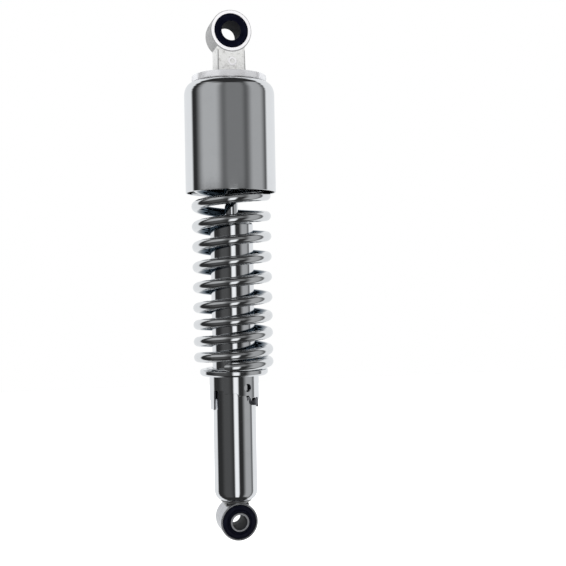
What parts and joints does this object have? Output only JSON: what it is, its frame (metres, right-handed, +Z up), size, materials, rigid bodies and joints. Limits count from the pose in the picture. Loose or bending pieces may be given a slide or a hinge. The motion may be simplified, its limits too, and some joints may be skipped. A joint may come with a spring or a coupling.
{
  "type": "motorcycle rear shock absorber",
  "caption": "Twin-tube coil-over shock absorber with chrome shroud, stepped preload collar and rubber-bushed eyes at both ends.",
  "frame": {"origin": "centre of the lower eye, where the lower bolt passes", "axes": "+Z up the damper's axis from the lower eye to the upper eye, Y along both eyes' bolts, -Y the face seen from the front"},
  "size_m": [0.0612, 0.0612, 0.3566],
  "materials": {
    "chrome_plate": "mirror chrome with fine wiping scratches",
    "chrome_spring": "polished and chromed spring wire",
    "cast_aluminium": "sand-cast skin, the eye's faces machined bright",
    "zinc_steel": "bright zinc plate",
    "plain_steel": "drawn steel, oiled",
    "sintered_iron": "fine sintered grain",
    "bronze_liner": "fine bored",
    "mount_rubber": "moulded, faint bloom",
    "seal_rubber": "oiled moulded rubber",
    "stop_polyurethane": "cellular polyurethane",
    "ptfe_band": "filled PTFE"
  },
  "bodies": {
    "damper_body": {"damper_tube": "chrome_plate", "base_cap": "plain_steel", "base_valve": "sintered_iron", "base_valve_plate": "plain_steel", "base_valve_rivet": "plain_steel", "pressure_tube": "plain_steel", "rod_guide": "sintered_iron", "guide_bush": "bronze_liner", "guide_o_ring": "seal_rubber", "oil_seal": "seal_rubber", "body_top_cap": "zinc_steel", "dust_wiper": "seal_rubber", "eye_saddle": "zinc_steel", "weld_bead_left": "plain_steel", "weld_bead_right": "plain_steel", "lower_eye_ring": "zinc_steel", "lower_bush": "mount_rubber", "cam_peg_right": "plain_steel", "cam_peg_left": "plain_steel"},
    "bush_sleeve": {"lower_sleeve": "zinc_steel"},
    "seat_ring": {"lower_spring_seat": "chrome_plate"},
    "cam_collar": {"preload_cam": "chrome_plate"},
    "spring_top": {"upper_spring_seat": "zinc_steel", "coil_spring": "chrome_spring"},
    "rod_assembly": {"piston_rod": "chrome_plate", "rebound_bumper": "seal_rubber", "check_valve_plate": "plain_steel", "piston": "sintered_iron", "piston_ring": "ptfe_band", "valve_shims": "plain_steel", "piston_nut": "zinc_steel", "bump_stop": "stop_polyurethane", "bump_stop_washer": "zinc_steel", "rod_lock_nut": "zinc_steel", "upper_cover": "chrome_plate", "top_disc": "cast_aluminium", "upper_eye_mount": "cast_aluminium", "upper_eye_bush": "mount_rubber"}
  },
  "joints": [
    {"name": "bush_twist", "type": "hinge", "parent": "damper_body", "child": "bush_sleeve", "pos_m": [0, 0, 0], "axis": [0, 1, 0], "range_deg": [-12, 12], "stiffness_Nm_per_rad": 20},
    {"name": "preload_lift", "type": "slide", "parent": "damper_body", "child": "seat_ring", "axis": [0, 0, 1], "range_m": [-0.00525, 0.00175]},
    {"name": "preload_turn", "type": "hinge", "parent": "seat_ring", "child": "cam_collar", "pos_m": [0, 0, 0.09], "axis": [0, 0, 1], "range_deg": [-32.1, 96.1]},
    {"name": "compression", "type": "slide", "parent": "damper_body", "child": "spring_top", "axis": [0, 0, 1], "range_m": [-0.06, 0], "stiffness_N_per_m": 20000, "springref_m": 0.01, "deforming": ["coil_spring"]},
    {"name": "rod_swivel", "type": "hinge", "parent": "spring_top", "child": "rod_assembly", "pos_m": [0, 0, 0.3], "axis": [0, 0, 1], "continuous": true}
  ],
  "couplings": [
    {"joint": "preload_turn", "follows": "preload_lift", "rad_per_m": -319.15}
  ]
}
